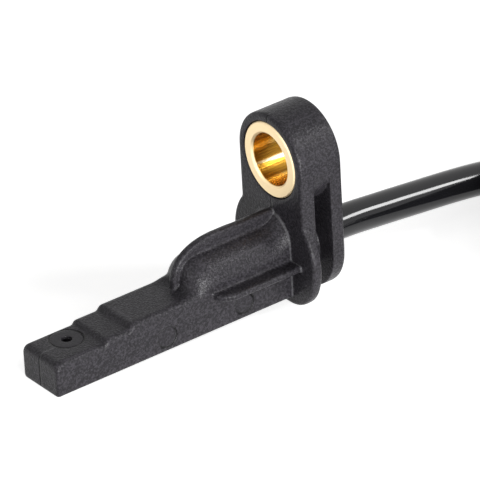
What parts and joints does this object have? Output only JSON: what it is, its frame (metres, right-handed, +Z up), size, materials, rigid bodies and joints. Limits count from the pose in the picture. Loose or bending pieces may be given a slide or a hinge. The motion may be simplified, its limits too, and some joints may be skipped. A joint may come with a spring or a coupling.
{
  "type": "abs wheel speed sensor",
  "caption": "Black moulded wheel speed sensor with a rectangular nose, domed barrel, round flange, slotted ear with a metal bush, and a round cable with a sealed plug.",
  "frame": {"origin": "centre of the head's outline, on the level that the head rests on", "axes": "+X from the nose towards the cable, +Y across the nose, +Z up"},
  "size_m": [0.129, 0.0563, 0.0256],
  "materials": {
    "housing_plastic": "black glass-filled moulding with a fine spark-eroded grain",
    "bush_metal": "pale satin face, bright turned bore",
    "cable_jacket": "smooth glossy black jacket",
    "carrier_plastic": "moulded",
    "chip_plastic": "moulded",
    "tinned_metal": "tinned",
    "copper_wire": "bare copper strands",
    "core_blue": "extruded insulation",
    "core_brown": "extruded insulation",
    "ceramic_body": "fired",
    "tie_plastic": "moulded band",
    "plug_plastic": "moulded",
    "lock_plastic": "moulded",
    "seal_rubber": "silicone",
    "boot_rubber": "moulded"
  },
  "bodies": {
    "root": {"housing": "housing_plastic", "mounting_bush": "bush_metal", "element_carrier": "carrier_plastic", "sensor_ic": "chip_plastic", "capacitor": "ceramic_body", "lead_left": "tinned_metal", "lead_right": "tinned_metal", "splice_left": "tinned_metal", "splice_right": "tinned_metal", "conductor_left": "copper_wire", "conductor_right": "copper_wire", "core_left": "core_blue", "core_right": "core_brown", "cable": "cable_jacket", "cable_coil": "cable_jacket", "coil_tie_a": "tie_plastic", "coil_tie_b": "tie_plastic", "cable_tail": "cable_jacket", "plug_boot": "boot_rubber", "plug_body": "plug_plastic", "plug_seal": "seal_rubber", "plug_lock": "lock_plastic", "wire_seal_left": "seal_rubber", "wire_seal_right": "seal_rubber", "plug_core_left": "core_blue", "plug_core_right": "core_brown", "terminal_left": "tinned_metal", "terminal_right": "tinned_metal"}
  },
  "joints": []
}
